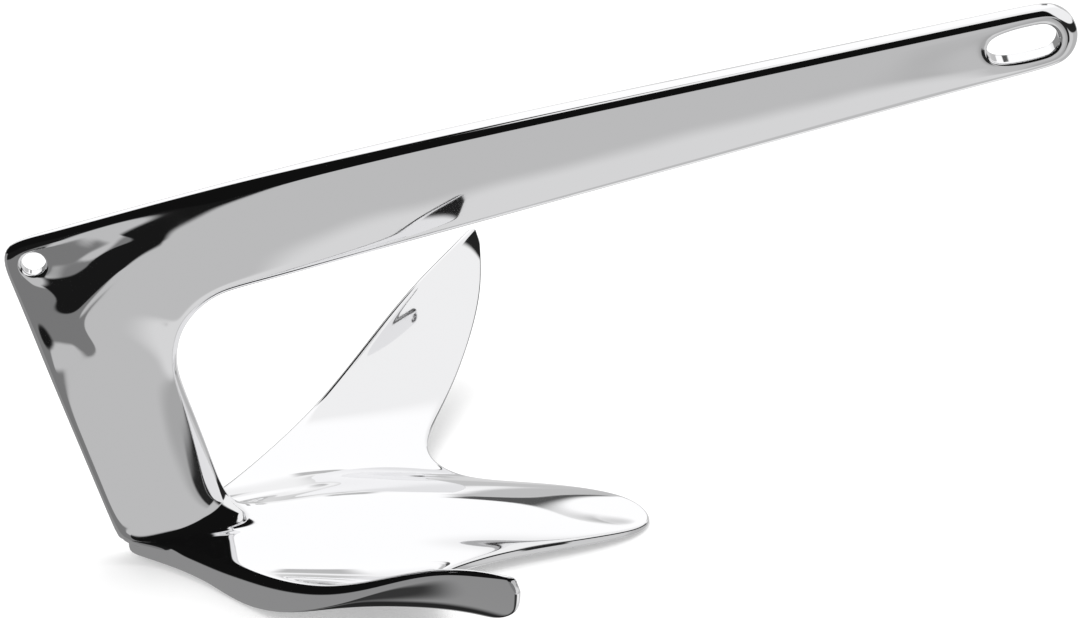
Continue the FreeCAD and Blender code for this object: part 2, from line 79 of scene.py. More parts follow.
def heading(angle: float) -> Vector:
    """Return the direction in the middle plane at an angle above forward, in radians."""
    return flat(math.cos(angle), math.sin(angle))


@dataclass(frozen=True)
class Settling:
    """How the moulded casting is turned and set down on its heel and its flukes."""

    pitch_deg: float = 2.63306
    forward: float = -228.838
    lift: float = 1.41186

    def turn(self, size: int) -> Matrix:
        """Return the turn alone, as a matrix with 3 or 4 rows."""
        return Matrix.Rotation(math.radians(self.pitch_deg), size, "Y")

    def matrix(self) -> Matrix:
        """Return the move from moulded millimetres to the resting part in metres."""
        shift = Matrix.Translation((self.forward, 0.0, self.lift))
        return Matrix.Scale(MILLIMETRE, 4) @ shift @ self.turn(4)


class SmoothCurve:
    """A smooth curve through points, measured along its chords."""

    HALVINGS = 40

    def __init__(self, points: Sequence[Sequence[float]]) -> None:
        """Fit the curve.

        Args:
            points: the points that it passes through, in order.
        """
        self.points = np.array(points, dtype=float)
        chords = np.linalg.norm(np.diff(self.points, axis=0), axis=1)
        self.knots = np.concatenate([[0.0], np.cumsum(chords)])
        self.bends = self.solve(chords)

    def solve(self, chords: np.ndarray) -> np.ndarray:
        """Find how strongly the curve bends at its points.

        Args:
            chords: the distances between the points.

        Returns:
            The second derivatives, a row for each point, which are zero at both ends.
        """
        count = len(self.points)
        matrix = np.zeros((count, count))
        wanted = np.zeros_like(self.points)
        matrix[0, 0] = matrix[-1, -1] = 1.0
        for index in range(1, count - 1):
            before, after = chords[index - 1], chords[index]
            matrix[index, index - 1:index + 2] = before, 2 * (before + after), after
            rise = (self.points[index + 1] - self.points[index]) / after
            wanted[index] = 6 * (rise - (self.points[index] - self.points[index - 1]) / before)
        return np.linalg.solve(matrix, wanted)

    def at(self, reach: float) -> np.ndarray:
        """Find a point of the curve.

        Args:
            reach: how far along the chords it lies.

        Returns:
            The point.
        """
        index = int(np.clip(np.searchsorted(self.knots, reach) - 1, 0, len(self.points) - 2))
        width = self.knots[index + 1] - self.knots[index]
        late = (reach - self.knots[index]) / width
        early = 1 - late
        line = early * self.points[index] + late * self.points[index + 1]
        bend = (early ** 3 - early) * self.bends[index] + (late ** 3 - late) * self.bends[index + 1]
        return line + bend * width ** 2 / 6

    def at_side(self, side: float) -> np.ndarray:
        """Find the curve's point at a distance from the middle plane, by halving.

        Args:
            side: the distance.

        Returns:
            The point.
        """
        low, high = 0.0, float(self.knots[-1])
        for _ in range(self.HALVINGS):
            middle = (low + high) / 2
            if self.at(middle)[1] < side:
                low = middle
            else:
                high = middle
        return self.at((low + high) / 2)

    def evenly(self, count: int) -> list[float]:
        """Return how far from the middle plane each of some even steps along the curve lies."""
        return [float(self.at(self.knots[-1] * index / count)[1]) for index in range(count + 1)]


@dataclass(frozen=True)
class Rib:
    """One master rib of the claw, and how far from the middle plane it lies.

    The crown is how far its top is arched, and the undercut how far its rear lip leans back
    underneath.
    """

    side: float
    rear_reach: float
    rear_height: float
    rear_thickness: float
    middle_thickness: float
    front_thickness: float
    crown: float
    undercut: float


@dataclass
class Claw:
    """The claw, from the centre fluke's ridge out to the side fluke's tip.

    Its sections are rings that run over the top from the rear edge to the front edge, round it
    and back underneath. Shares run from 0 at the rear to 1 at the front.
    """

    MEASURES = ("rear_thickness", "middle_thickness", "front_thickness", "crown", "undercut")

    ribs: tuple[Rib, ...] = (
        Rib(0.0, -9.0, 14.0, 14.4, 16.0, 3.6, 20.3, 2.0),
        Rib(30.0, 32.5, 15.6, 15.2, 13.0, 5.8, 9.8, 6.0),
        Rib(68.0, 65.2, 22.8, 21.6, 11.0, 6.0, 1.0, 6.5),
        Rib(105.0, 100.3, 38.0, 14.6, 10.0, 3.0, 0.0, 4.5),
        Rib(165.0, 161.0, 81.0, 6.0, 5.4, 2.8, -0.5, 0.5),
        Rib(201.0, 193.6, 94.6, 4.8, 4.4, 3.2, 0.0, 0.0),
    )
    front_edge: tuple[Spot, ...] = (
        (281.8, 0.0, 13.6), (280.2, 9.5, 15.8), (269.5, 18.5, 17.6), (194.4, 41.1, 18.0),
        (171.2, 52.5, 18.4), (160.4, 67.0, 21.4), (166.6, 100.5, 26.6), (192.0, 165.5, 51.2),
        (198.0, 190.0, 70.0), (197.2, 201.0, 83.5),
    )
    spans: int = 15
    # The top's rows crowd together under the leg, and are even from this section on.
    foot_shares: tuple[float, ...] = (
        0.0, 0.014, 0.04, 0.07, 0.1, 0.136, 0.17, 0.2, 0.235, 0.257, 0.34, 0.48, 0.62, 0.76,
        0.89, 1.0)
    even_from: int = 8
    bottom_rows: int = 4
    # Rounded edges: the steps in a quarter, and a power over 2 for a squarer round.
    rear_steps: int = 3
    front_steps: int = 2
    rear_power: float = 2.6
    front_power: float = 2.0
    # The rear's round reaches back a part of its thickness, up to a limit.
    rear_round_part: float = 3.0
    rear_round_limit: float = 5.0
    # Where the rear's thickness has given way to the middle's, and how the arch is spread.
    rear_share: float = 0.4
    crown_power: float = 0.8
    undercut_power: float = 4.0
    sweep_step: float = 1.0
    curves: dict[str, SmoothCurve] = field(init=False)

    def __post_init__(self) -> None:
        """Fit the curves that every section is taken from."""
        rear = [(rib.rear_reach, rib.side, rib.rear_height) for rib in self.ribs]
        self.curves = {"rear": SmoothCurve(rear), "front": SmoothCurve(self.front_edge)}
        for name in self.MEASURES:
            points = [(getattr(rib, name), rib.side, 0.0) for rib in self.ribs]
            self.curves[name] = SmoothCurve(points)

    def steepness(self, side: float, along: np.ndarray, upward: np.ndarray) -> float:
        """Find how much taller than thick a section is where the claw slopes sideways.

        Args:
            side: the section's distance from the middle plane.
            along: its direction from the rear to the front.
            upward: its upward direction.

        Returns:
            The height for a thickness of 1.
        """
        if side < self.sweep_step:
            return 1.0
        outer, inner = min(side + self.sweep_step, self.ribs[-1].side), side - self.sweep_step
        rear, front = self.curves["rear"], self.curves["front"]
        sweep = rear.at_side(outer) + front.at_side(outer)
        sweep = sweep - rear.at_side(inner) - front.at_side(inner)
        normal = np.cross(along, sweep)
        return 1 / abs(float(np.dot(normal / np.linalg.norm(normal), upward)))

    @staticmethod
    def rounded(middle: np.ndarray, out: np.ndarray, rise: np.ndarray, power: float,
                steps: int) -> list[np.ndarray]:
        """Make the points of a rounded edge.

        Args:
            middle: the middle of the edge's thickness.
            out: from there to the outermost point.
            rise: from the middle to the side where the points start.
            power: 2 for a round edge, more for a squarer one.
            steps: how many steps each quarter has.

        Returns:
            The points, without those where the two sides begin.
        """
        turns = [math.pi / 2 * step / steps for step in range(steps)]
        quarter = [(math.cos(turn) ** (2 / power), math.sin(turn) ** (2 / power)) for turn in turns]
        near = [middle + out * ahead + rise * up for ahead, up in reversed(quarter)]
        return near + [middle + out * ahead - rise * up for ahead, up in quarter[1:]]

    def section(self, side: float, shares: Sequence[float]) -> list[Vector]:
        """Make a section's ring of points.

        Args:
            side: the section's distance from the middle plane.
            shares: where its upper rows lie.

        Returns:
            The upper rows, the front's round, the lower rows and the rear's round.
        """
        start, finish = (self.curves[edge].at_side(side) for edge in ("rear", "front"))
        length = float(np.linalg.norm(finish - start))
        along = (finish - start) / length
        upward = np.array([-along[2], 0.0, along[0]])
        upward /= np.linalg.norm(upward)
        factor = self.steepness(side, along, upward)
        rear, middle, front, crown, undercut = (
            float(self.curves[name].at_side(side)[0]) for name in self.MEASURES)

        def height(share: float) -> float:
            """Return how tall the section is at a share of its length."""
            if share < self.rear_share:
                return factor * (rear + (middle - rear) * eased(share / self.rear_share))
            beyond = (share - self.rear_share) / (1 - self.rear_share)
            return factor * (middle + (front - middle) * beyond)

        def place(share: float, depth: float) -> np.ndarray:
            """Return a point of the section, at a depth from 0 on its top to 1 underneath."""
            lift = crown * math.sin(math.pi * clamp(share) ** self.crown_power)
            back = depth * undercut * (1 - share) ** self.undercut_power
            ahead = along * (share * length - back)
            return start + ahead + upward * (lift - depth * height(share))

        rear_round = min(rear / self.rear_round_part, self.rear_round_limit)
        front_round = front / 2
        first, last = rear_round / length, 1 - front_round / length
        upper = [place(first + (last - first) * share, 0.0) for share in shares]
        lower = [place(last + (first - last) * (1 - share), 1.0) for share in self.bottom_shares()]
        front_edge = self.rounded(
            place(last, 0.5), along * front_round, upward * (height(last) / 2),
            self.front_power, self.front_steps)
        rear_rise = upward * (height(first) / 2) + along * (undercut / 2)
        rear_edge = self.rounded(
            place(first, 0.5), along * -rear_round, -rear_rise, self.rear_power, self.rear_steps)
        return [Vector(point) for point in upper + front_edge + lower + rear_edge]

    def bottom_shares(self) -> list[float]:
        """Return where the lower rows lie, from the front to the rear."""
        return [1 - row / (self.bottom_rows - 1) for row in range(self.bottom_rows)]

    def ring_shares(self, index: int) -> list[float]:
        """Find how far forward each row of a section lies.

        Args:
            index: the section's place, counted from the middle plane.

        Returns:
            A share for each point of the ring, in its order.
        """
        front, rear = 2 * self.front_steps - 1, 2 * self.rear_steps - 1
        return self.shares(index) + [1.0] * front + self.bottom_shares() + [0.0] * rear

    def sides(self) -> list[float]:
        """Return how far out each section lies: evenly spaced along the front edge."""
        sides = self.curves["front"].evenly(self.spans)
        return [0.0] + sides[1:-1] + [self.ribs[-1].side]

    def shares(self, index: int) -> list[float]:
        """Find where a section's upper rows lie: close together at the foot, even further out.

        Args:
            index: the section's place, counted from the middle plane.

        Returns:
            The rows' shares.
        """
        blend = clamp((index - 1) / (self.even_from - 1))
        last = len(self.foot_shares) - 1
        return [near + (row / last - near) * blend for row, near in enumerate(self.foot_shares)]


@dataclass(frozen=True)
class Station:
    """One line across the shank, from its outer edge to its inner edge.

    A stretch makes the round of its edge wider than usual, and the slope is how steeply the
    side falls away towards the inner edge.
    """

    outer: Vector
    inner: Vector
    stretch: float = 1.0
    inner_stretch: float = 1.0
    slope: float = 0.14

    @property
    def width(self) -> float:
        """How wide the shank is here."""
        return (self.inner - self.outer).length

    @property
    def along(self) -> Vector:
        """The direction from the outer edge to the inner edge."""
        return (self.inner - self.outer) / self.width


class Row(Enum):
    """The rows along one side of the shank, from its outer edge to its inner edge."""

    OUTER_MIDDLE = 0
    OUTER_FACE = 1
    OUTER_ROUND = 2
    OUTER_FLAT = 3
    HOLE = 4
    SHOULDER_FOOT = 5
    SHOULDER_TOP = 6
    BAR = 7
    INNER_FLAT = 8
    INNER_ROUND = 9
    INNER_FACE = 10
    INNER_MIDDLE = 11


class SlotEnd(Enum):
    """The two ends of the shackle slot, and which way each lies from its middle."""

    NEAR = -1
    FAR = 1


@dataclass
class Shank:
    """The shank: leg, bend with its web, arm and eye, with its two holes."""

    # The leg's back line, the corner behind the bend and the arm's upper edge.
    heel_back: float = -7.2
    back_lean: float = 18.3
    corner_height: float = 190.4
    corner_radius: float = 14.0
    back_rise: float = 15.31
    crown_reach: float = 106.9
    crown_radius: float = 3300.0
    fore_rise: float = 11.5
    # The eye.
    eye_reach: float = 484.6
    eye_radius: float = 17.8
    eye_tilt: float = 13.0
    eye_steps: int = 6
    # The inner bend and the front of the foot.
    bend_reach: float = 12.7
    bend_drop: float = 40.0
    bend_radius: float = 44.5
    bend_fullness: float = 1.02
    foot: tuple[float, float] = (53.6, 15.0)
    # Half the thickness of the bar, which tapers to the eye.
    half_thickness: float = 8.25
    eye_half_thickness: float = 6.4
    taper_start: float = 230.0
    taper_overrun: float = 35.4
    # The web, the shoulder round it and how that fades down the leg.
    web_half: float = 4.3
    web_setback: float = 33.15
    web_reach: float = 96.5
    web_drop: float = 83.6
    web_rise: float = 20.8
    web_shoulder: float = 8.0
    web_slope: float = 0.068
    web_ramp: float = 14.0
    web_fade: float = 170.0
    web_fade_run: float = 50.0
    web_fade_width: float = 18.0
    # How far from the edges the rows lie, and how far apart they stay at the shoulder.
    round_depth: float = 3.2
    flat_depth: float = 8.0
    face_share: float = 0.55
    inner_run: float = 38.0
    search_step: float = 0.5
    shoulder_gaps: tuple[float, float, float] = (3.0, 6.0, 12.0)
    bar_gap: float = 9.0
    # The holes. Each step of a wall has a distance across and a depth in the side, which is none
    # in the middle plane. Across is how far outside the trip-line hole's radius the step lies,
    # and how far the slot's rim moves inward. The slot's numbers are in rounds of its rim.
    hole_round: float = 1.5
    trip_inset: float = 1.7
    trip_radius: float = 6.5
    trip_turn: float = 197.6
    trip_points: int = 8
    trip_wall: tuple[tuple[float, float | None], ...] = (
        (2.7, 0.0), (1.2, 0.0), (0.0, 1.0), (0.0, 2.6), (0.0, None))
    octagon_share: float = 0.902
    slot_setback: float = 12.2
    slot_length: float = 38.7
    slot_width: float = 18.7
    slot_wall: tuple[tuple[float, float | None], ...] = ((1.0, 0.65), (0.0, 2.0), (0.0, None))
    slot_turns: tuple[float, float] = (60.0, 120.0)
    slot_fullness: float = 1.13
    limb_shares: tuple[float, ...] = (0.42, 0.72, 1.0)
    eye_fullness: float = 1.047

    @property
    def tilt(self) -> float:
        """The slope of the eye and its slot, in radians."""
        return math.radians(self.eye_tilt)

    @property
    def crown(self) -> Vector:
        """The point where the two straight runs of the arm's upper edge would meet."""
        start, slope = self.corner(), math.tan(math.radians(self.back_rise))
        return flat(self.crown_reach, start.z + (self.crown_reach - start.x) * slope)

    @property
    def eye(self) -> Vector:
        """The middle of the eye's round, which touches the arm's upper edge."""
        run = self.eye_reach - self.eye_radius * math.sin(self.tilt) - self.crown_reach
        height = self.crown.z + run * math.tan(math.radians(self.fore_rise))
        return flat(self.eye_reach, height - self.eye_radius * math.cos(self.tilt))

    @property
    def bend(self) -> Vector:
        """The point where the leg's front edge and the arm's lower edge would meet."""
        return flat(self.bend_reach, self.corner_height - self.bend_drop)

    @property
    def slot(self) -> Vector:
        """The middle of the shackle slot."""
        return self.eye - heading(self.tilt) * self.slot_setback

    @property
    def slot_run(self) -> float:
        """How far from the slot's middle the middles of its two round ends are."""
        return (self.slot_length - self.slot_width) / 2

    @property
    def slot_rim(self) -> float:
        """How far from the slot's middle line its rounded rim begins."""
        return self.slot_width / 2 + self.hole_round

    @property
    def trip_hole(self) -> Vector:
        """The middle of the trip-line hole, a little ahead of the corner's round."""
        angle = math.radians((self.back_rise + self.back_lean - 90) / 2)
        opening = math.radians((self.back_lean - self.back_rise) / 2 + 45)
        depth = self.corner_radius / math.cos(opening)
        return self.corner() + heading(angle) * depth + flat(self.trip_inset, 0.0)

    @property
    def web_centre(self) -> Vector:
        """The middle of the arc that the main bar's shoulder follows round the bend."""
        return flat(self.web_reach, self.bend.z - self.web_drop)

    @property
    def web_radius(self) -> float:
        """The radius of the arc that the main bar's shoulder follows round the bend."""
        return (self.trip_hole - self.web_centre).length - self.web_setback

    def back(self, height: float) -> Vector:
        """Return the point of the leg's back line at a height."""
        return flat(self.heel_back - height * math.tan(math.radians(self.back_lean)), height)

    def corner(self) -> Vector:
        """Return the sharp corner behind the trip-line hole."""
        return self.back(self.corner_height)

    def eye_ends(self) -> tuple[Vector, Vector]:
        """Return where the eye's round meets the upper and the lower edge of the arm."""
        across = heading(self.tilt + math.pi / 2) * self.eye_radius
        return self.eye + across, self.eye - across

    def top(self, reach: float) -> Vector:
        """Find a point of the arm's upper edge: two straight runs joined by a long arc.

        Args:
            reach: how far forward it lies.

        Returns:
            The point.
        """
        turn = self.crown
        back_rise, fore_rise = math.radians(self.back_rise), math.radians(self.fore_rise)
        tangent = self.crown_radius * math.tan((back_rise - fore_rise) / 2)
        begin = turn.x - tangent * math.cos(back_rise)
        end = turn.x + tangent * math.cos(fore_rise)
        if reach <= begin:
            return flat(reach, turn.z + (reach - turn.x) * math.tan(back_rise))
        if reach >= end:
            return flat(reach, turn.z + (reach - turn.x) * math.tan(fore_rise))
        centre = begin + self.crown_radius * math.sin(back_rise)
        base = turn.z + (begin - turn.x) * math.tan(back_rise)
        base -= self.crown_radius * math.cos(back_rise)
        return flat(reach, base + math.sqrt(self.crown_radius ** 2 - (reach - centre) ** 2))

    def lower(self, reach: float) -> Vector:
        """Return the point of the arm's lower edge at a reach."""
        start, finish = self.bend, self.eye_ends()[1]
        return start + (finish - start) * ((reach - start.x) / (finish.x - start.x))

    def front(self, height: float) -> Vector:
        """Return the point of the leg's front edge at a height."""
        start, finish = flat(*self.foot), self.bend
        return start + (finish - start) * ((height - start.z) / (finish.z - start.z))

    def inside(self, share: float) -> Vector:
        """Find a point of the inner bend.

        Args:
            share: how far round the bend it lies, from 0 at the leg to 1 at the arm.

        Returns:
            The point, a little outside the arc because smoothing draws it in.
        """
        vertex = self.bend
        down = (flat(*self.foot) - vertex).normalized()
        out = (self.eye_ends()[1] - vertex).normalized()
        half = down.angle(out) / 2
        centre = vertex + (down + out).normalized() * (self.bend_radius / math.sin(half))
        start = vertex + down * (self.bend_radius / math.tan(half)) - centre
        turn = Matrix.Rotation((math.pi - 2 * half) * share, 3, "Y")
        return centre + (turn @ start) * self.bend_fullness

    def stations(self) -> list[Station]:
        """Lay out the lines across the shank.

        Returns:
            The stations, from above the foot to the slot's near end.
        """
        leg = [
            Station(self.back(20.0), self.front(34.0), 0.5, 2.8, 0.22),
            Station(self.back(45.0), self.front(55.0), 0.5, 2.2, 0.25),
            Station(self.back(75.0), self.front(84.0), 0.5, 0.7, 0.245),
            Station(self.back(102.0), self.inside(0.0), 0.5, 0.4, 0.2),
            Station(self.back(128.0), self.inside(0.17), 0.7, 0.5, 0.14),
            Station(self.back(150.0), self.inside(0.33), 1.0, 0.6, 0.09),
        ]
        turn = [
            Station(self.back(168.0), self.inside(0.44), 1.0, 0.8, 0.05),
            Station(self.corner(), self.inside(0.52), 1.42, 1.0, 0.0),
            Station(self.top(-44.0), self.inside(0.60), 1.0, 1.0, 0.0),
            Station(self.top(-20.0), self.inside(0.71), 1.0, 1.0, 0.0),
            Station(self.top(8.0), self.inside(0.82), 1.0, 1.0, 0.0),
            Station(self.top(40.0), self.inside(0.94), 1.0, 1.0, 0.02),
        ]
        arm = [
            Station(self.top(72.0), self.lower(74.0), 1.0, 1.0, 0.08),
            Station(self.top(116.0), self.lower(125.0)),
            Station(self.top(190.0), self.lower(200.0)),
            Station(self.top(310.0), self.lower(320.0)),
            Station(self.top(432.0), self.lower(441.0)),
            Station(self.top(459.5), self.lower(467.5)),
        ]
        return leg + turn + arm

    def beyond_bar(self, point: Vector) -> float:
        """Find how far a point lies outside the main bar, where the shank is thinned to a web.

        Args:
            point: a point of the shank's side.

        Returns:
            The distance past the bar's line: an arc round the bend, and then its tangent.
        """
        rise = math.radians(self.web_rise)
        offset = point - self.web_centre
        if offset.dot(heading(rise)) > 0:
            return offset.dot(heading(rise + math.pi / 2)) - self.web_radius
        return offset.length - self.web_radius

    def half_at(self, point: Vector) -> float:
        """Find half the shank's thickness: the bar with its taper, the shoulder and the web.

        Args:
            point: a point of the shank's side.

        Returns:
            How far from the middle plane the side lies there.
        """
        taper_end = self.eye_reach + self.taper_overrun
        taper = clamp((point.x - self.taper_start) / (taper_end - self.taper_start))
        bar = self.half_thickness + (self.eye_half_thickness - self.half_thickness) * taper
        low = clamp((self.web_fade - point.z) / self.web_fade_run)
        shoulder = self.web_shoulder + self.web_fade_width * low
        share = clamp(self.beyond_bar(point) / shoulder)
        ahead = min(point.x - self.trip_hole.x, self.web_ramp)
        return bar + (self.web_half + self.web_slope * ahead - bar) * share

    def depths(self, station: Station) -> list[float]:
        """Find how far each row lies from the outer edge, along a station's line.

        The rows between the two edges' rounds are spread evenly. Where the line crosses the
        shoulder of the web, they are held to it.

        Args:
            station: the line across the shank.

        Returns:
            A distance for each row, in the order of Row.
        """
        width = station.width
        outer = [0.0, 0.0, self.round_depth * station.stretch, self.flat_depth * station.stretch]
        inner = [width - self.flat_depth * station.inner_stretch,
                 width - self.round_depth * station.inner_stretch, width, width]
        first = outer[-1]
        spans = len(self.shoulder_gaps) + 2
        even = [first + (inner[0] - first) * step / spans for step in range(1, spans)]
        crossing = 0.0
        while crossing < width and self.beyond_bar(station.outer + station.along * crossing) > 0:
            crossing += self.search_step
        if crossing <= first:
            return outer + even + inner
        foot = crossing - self.web_shoulder
        aims = ((first + foot) / 2, foot, crossing)
        held = [max(aim, first + gap) for aim, gap in zip(aims, self.shoulder_gaps)]
        held.append(held[-1] + self.bar_gap)
        grip = min((crossing - first) / (2 * self.web_shoulder), 1.0)
        return outer + [rest + (aim - rest) * grip for rest, aim in zip(even, held)] + inner

    def on_side(self, spot: Vector, share: float = 1.0) -> Vector:
        """Return a point at a share of the way from the middle plane to the shank's side."""
        return Vector((spot.x, self.half_at(spot) * share, spot.z))

    def row_points(self, station: Station) -> list[Vector]:
        """Make the points of one station's rows, on the side that is modelled.

        Args:
            station: the line across the shank.

        Returns:
            A point for each row, in the order of Row.
        """
        points = []
        for row, depth in zip(Row, self.depths(station)):
            point = station.outer + station.along * depth
            fall = max(1 - (station.width - depth) / self.inner_run, 0.0)
            half = self.half_at(point) - station.slope * self.inner_run / 2 * fall ** 2
            if row in (Row.OUTER_MIDDLE, Row.INNER_MIDDLE):
                half = 0.0
            elif row in (Row.OUTER_FACE, Row.INNER_FACE):
                half *= self.face_share
            points.append(Vector((point.x, half, point.z)))
        return points

    def slot_edge(self, end: SlotEnd, turn_deg: float, radius: float) -> Vector:
        """Find a point round one end of the slot.

        Args:
            end: which end it is.
            turn_deg: how far the point is turned, from the slot's upper side towards its end.
            radius: how far from the middle of the end's round it lies.

        Returns:
            The point, in the middle plane.
        """
        centre = self.slot + heading(self.tilt) * (end.value * self.slot_run)
        angle = self.tilt + math.pi / 2 - end.value * math.radians(turn_deg)
        return centre + heading(angle) * radius

    def limb(self, outer: Vector, rim: Vector) -> list[Vector]:
        """Return the rows between a point of the eye's outer edge and one of the slot's rim."""
        face = [self.on_side(outer, share) for share in (0.0, self.face_share)]
        return face + [self.on_side(outer.lerp(rim, share)) for share in self.limb_shares]

    def slot_start(self) -> list[Vector]:
        """Make the rows of the last station, which hold the rim of the slot's near end.

        Returns:
            A point for each row, in the order of Row.
        """
        station, full = self.stations()[-1], self.slot_rim * self.slot_fullness
        upper = self.limb(station.outer, self.slot_edge(SlotEnd.NEAR, 0.0, self.slot_rim))
        lower = self.limb(station.inner, self.slot_edge(SlotEnd.NEAR, 180.0, self.slot_rim))
        spots = [self.slot_edge(SlotEnd.NEAR, turn, full) for turn in self.slot_turns]
        return upper + [self.on_side(spot) for spot in spots] + lower[::-1]

    def eye_rings(self) -> list[list[Vector]]:
        """Make the stations round the eye.

        Returns:
            The rows of each, from the upper limb round the end back to the lower limb.
        """
        rings = []
        for step in range(self.eye_steps + 1):
            turn = 180.0 * step / self.eye_steps
            full = 1.0 if step in (0, self.eye_steps) else self.eye_fullness
            out = heading(self.tilt + math.pi / 2 - math.radians(turn))
            edge = self.slot_edge(SlotEnd.FAR, turn, self.slot_rim * full)
            rings.append(self.limb(self.eye + out * (self.eye_radius * full), edge))
        rings.append(self.slot_start()[:-len(rings[0]) - 1:-1])
        return rings

    def trip_wall_point(self, index: int, outside: float, depth: float | None) -> Vector:
        """Find one of the points in a ring of the trip-line hole's wall.

        Args:
            index: which of the ring's points it is.
            outside: how far outside the hole's radius the ring is smoothed to.
            depth: how deep in the web's side it lies, or none for the middle plane.

        Returns:
            The point.
        """
        angle = math.radians(self.trip_turn - 360.0 * index / self.trip_points)
        radius = (self.trip_radius + outside) / self.octagon_share
        half = 0.0 if depth is None else self.web_half - depth
        return self.trip_hole + heading(angle) * radius + Vector((0.0, half, 0.0))

    def slot_wall_point(self, spot: Vector, inward: float, depth: float | None) -> Vector:
        """Find where a point of the slot's rim or wall goes next.

        Args:
            spot: where it is.
            inward: how many rounds of the rim it moves towards the slot's middle line.
            depth: how many of them it then lies under the side, or none for the middle plane.

        Returns:
            The new point.
        """
        axis, point = heading(self.tilt), flat(spot.x, spot.z)
        run = min(max((point - self.slot).dot(axis), -self.slot_run), self.slot_run)
        centre = self.slot + axis * run
        out = point - centre
        wall = centre + out.normalized() * (out.length - self.hole_round * inward)
        half = 0.0 if depth is None else self.half_at(spot) - depth * self.hole_round
        return Vector((wall.x, half, wall.z))


class Cage:
    """Half of the anchor as a cage of quads, modelled in edit mode by extruding rings and paths.

    Every vertex keeps two tags, its station and its row, and an extruded vertex takes them along.
    """

    TAGS = ("station", "row")
    OFF_MIDDLE = 0.1

    def __init__(self, name: str, section: Sequence[Vector]) -> None:
        """Start with a ring of vertices.

        Args:
            name: the piece's name.
            section: where the ring's vertices lie.
        """
        bpy.ops.object.select_all(action="DESELECT")
        bpy.ops.mesh.primitive_circle_add(vertices=len(section), fill_type="NOTHING")
        self.piece = bpy.context.active_object
        self.piece.name = self.piece.data.name = name
        bpy.ops.object.mode_set(mode="EDIT")
        bpy.ops.mesh.select_mode(type="VERT")
        mesh = bmesh.from_edit_mesh(self.piece.data)
        for tag in self.TAGS:
            mesh.verts.layers.int.new(tag)
        mesh.verts.ensure_lookup_table()
        _, row = self.tags(mesh)
        for index, vertex in enumerate(mesh.verts):
            vertex[row] = index
            vertex.co = section[index]
        bmesh.update_edit_mesh(self.piece.data)

    def tags(self, mesh: bmesh.types.BMesh) -> list[bmesh.types.BMLayerItem]:
        """Return the layers that hold the station and the row of a mesh's vertices."""
        return [mesh.verts.layers.int[tag] for tag in self.TAGS]

    def edit(self, change: Callable[[int, int, Vector], tuple[int, int, Vector] | None],
             everywhere: bool = False) -> None:
        """Change the tags and the place of vertices.

        Args:
            change: takes a vertex's station, row and place, and returns the new ones or none.
            everywhere: whether all vertices are asked for, and not only the selected ones.
        """
        mesh = bmesh.from_edit_mesh(self.piece.data)
        station, row = self.tags(mesh)
        for vertex in mesh.verts:
            if everywhere or vertex.select:
                found = change(vertex[station], vertex[row], vertex.co.copy())
                if found:
                    vertex[station], vertex[row], vertex.co = found
        bmesh.update_edit_mesh(self.piece.data)

    def choose(self, wanted: Callable[[int, int], bool]) -> None:
        """Select vertices, with the edges and faces between them.

        Args:
            wanted: takes a vertex's station and row, and returns whether it is selected.
        """
        bpy.ops.mesh.select_all(action="DESELECT")
        mesh = bmesh.from_edit_mesh(self.piece.data)
        station, row = self.tags(mesh)
        for vertex in mesh.verts:
            if wanted(vertex[station], vertex[row]):
                vertex.select_set(True)
        mesh.select_flush(True)
        bmesh.update_edit_mesh(self.piece.data)

    def choose_rim(self, centre: Vector, reach: float) -> None:
        """Select the open edges round a hole, away from the middle plane.

        Args:
            centre: the middle of the hole.
            reach: how far from it an edge may lie.
        """
        bpy.ops.mesh.select_all(action="DESELECT")
        mesh = bmesh.from_edit_mesh(self.piece.data)
        for edge in mesh.edges:
            near = all((flat(spot.co.x, spot.co.z) - centre).length < reach for spot in edge.verts)
            aside = all(spot.co.y > self.OFF_MIDDLE for spot in edge.verts)
            if edge.is_boundary and near and aside:
                edge.select_set(True)
        bmesh.update_edit_mesh(self.piece.data)

    def extrude(self, place: Callable[[int, int, Vector], Vector],
                station: int | None = None) -> None:
        """Extrude what is selected and move the new vertices.

        Args:
            place: takes a new vertex's station, row and place, and returns where it goes.
            station: the station that the new vertices get, or none to keep theirs.
        """
        bpy.ops.mesh.extrude_region_move()
        self.edit(lambda old, row, spot: (
            old if station is None else station, row, place(old, row, spot)))

    def merge(self) -> None:
        """Merge the vertices that lie on each other."""
        bpy.ops.mesh.select_all(action="SELECT")
        bpy.ops.mesh.remove_doubles(threshold=MERGE_REACH)

    def finish(self, levels: int) -> bpy.types.Object:
        """Mirror the half and smooth it.

        Args:
            levels: how often every face is divided.

        Returns:
            The piece, out of edit mode.
        """
        self.merge()
        bpy.ops.object.mode_set(mode="OBJECT")
        mirror = self.piece.modifiers.new("other_half", "MIRROR")
        mirror.use_axis = (False, True, False)
        mirror.merge_threshold = MERGE_REACH
        bpy.ops.object.modifier_apply(modifier=mirror.name)
        bpy.ops.object.mode_set(mode="EDIT")
        bpy.ops.mesh.select_all(action="SELECT")
        bpy.ops.mesh.normals_make_consistent(inside=False)
        bpy.ops.object.mode_set(mode="OBJECT")
        smooth = self.piece.modifiers.new("smooth", "SUBSURF")
        smooth.levels = smooth.render_levels = levels
        bpy.ops.object.modifier_apply(modifier=smooth.name)
        bpy.ops.object.shade_smooth()
        return self.piece


